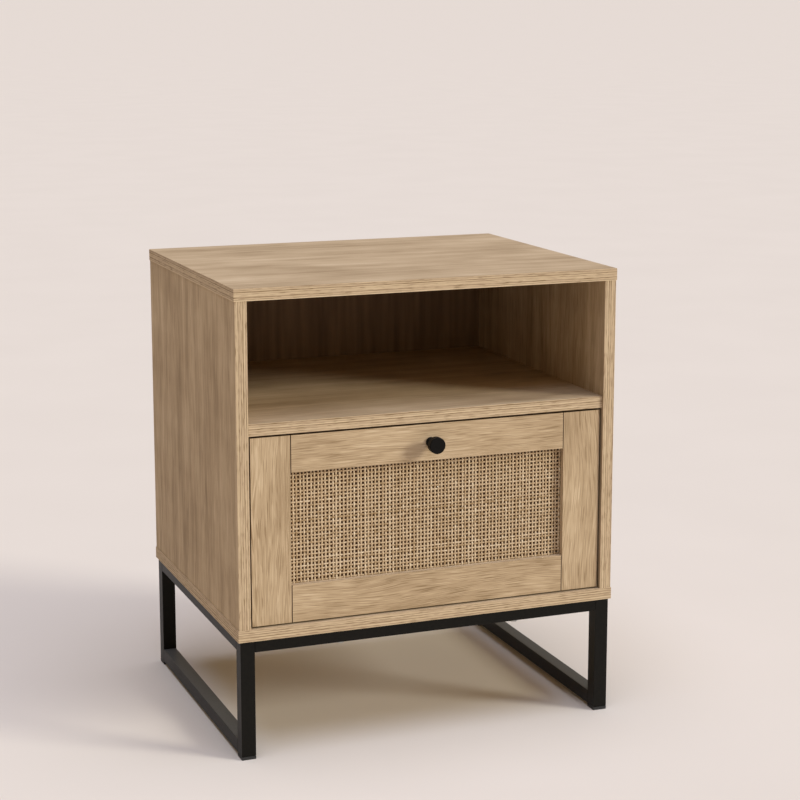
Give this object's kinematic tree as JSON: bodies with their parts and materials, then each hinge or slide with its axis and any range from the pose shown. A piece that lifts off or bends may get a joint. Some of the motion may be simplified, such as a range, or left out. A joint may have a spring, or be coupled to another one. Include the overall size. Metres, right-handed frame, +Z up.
{
  "type": "nightstand",
  "caption": "Freestanding bedside cabinet in oak-look board with an open bay above a sliding drawer with a woven cane front, on a black square-tube steel base.",
  "frame": {"origin": "on the floor, under the middle of the whole outline, the knob included", "axes": "+Z up, the drawer front faces -Y, +X to the right as one looks at the front"},
  "size_m": [0.5, 0.419, 0.58],
  "materials": {
    "top_oak": "matte oak-look laminate",
    "carcass_oak": "matte oak-look laminate",
    "front_oak": "matte oak-look laminate",
    "back_board": "printed hardboard",
    "drawer_board": "pale foil on board",
    "beech": "bare beech",
    "cane": "woven natural cane",
    "black_steel": "matte black powder coat",
    "knob_black": "matte black paint",
    "black_plastic": "moulded black plastic",
    "zinc_steel": "bright zinc plate"
  },
  "bodies": {
    "cabinet": {"top_panel": "top_oak", "bottom_panel": "carcass_oak", "left_side_panel": "carcass_oak", "right_side_panel": "carcass_oak", "shelf": "carcass_oak", "back_panel": "back_board", "carcass_dowels": "beech", "carcass_screws": "zinc_steel", "shelf_cams": "zinc_steel", "shelf_cam_bolts": "zinc_steel", "back_panel_screws": "zinc_steel", "left_front_leg": "black_steel", "left_rear_leg": "black_steel", "right_front_leg": "black_steel", "right_rear_leg": "black_steel", "left_top_rail": "black_steel", "right_top_rail": "black_steel", "left_floor_rail": "black_steel", "right_floor_rail": "black_steel", "front_cross_rail": "black_steel", "rear_cross_rail": "black_steel", "left_front_glide": "black_plastic", "left_rear_glide": "black_plastic", "right_front_glide": "black_plastic", "right_rear_glide": "black_plastic", "base_screws": "zinc_steel", "left_slide_channel": "zinc_steel", "right_slide_channel": "zinc_steel", "slide_channel_screws": "zinc_steel"},
    "left_middle": {"left_slide_middle": "zinc_steel"},
    "right_middle": {"right_slide_middle": "zinc_steel"},
    "drawer": {"left_slide_runner": "zinc_steel", "right_slide_runner": "zinc_steel", "slide_runner_screws": "zinc_steel", "left_stile": "front_oak", "right_stile": "front_oak", "front_top_rail": "front_oak", "front_bottom_rail": "front_oak", "frame_dowels": "beech", "cane_webbing": "cane", "top_bead": "beech", "bottom_bead": "beech", "left_bead": "beech", "right_bead": "beech", "knob": "knob_black", "knob_screw": "zinc_steel", "left_drawer_side": "drawer_board", "right_drawer_side": "drawer_board", "drawer_box_front": "drawer_board", "drawer_box_back": "drawer_board", "drawer_floor": "drawer_board", "drawer_corner_screws": "zinc_steel", "front_fixing_screws": "zinc_steel"}
  },
  "joints": [
    {"name": "drawer_slide", "type": "slide", "parent": "cabinet", "child": "drawer", "axis": [0, -1, 0], "range_m": [0, 0.3]},
    {"name": "left_middle_slide", "type": "slide", "parent": "cabinet", "child": "left_middle", "axis": [0, -1, 0], "range_m": [0, 0.15]},
    {"name": "right_middle_slide", "type": "slide", "parent": "cabinet", "child": "right_middle", "axis": [0, -1, 0], "range_m": [0, 0.15]}
  ],
  "couplings": [
    {"joint": "left_middle_slide", "follows": "drawer_slide", "ratio": 0.5},
    {"joint": "right_middle_slide", "follows": "drawer_slide", "ratio": 0.5}
  ]
}
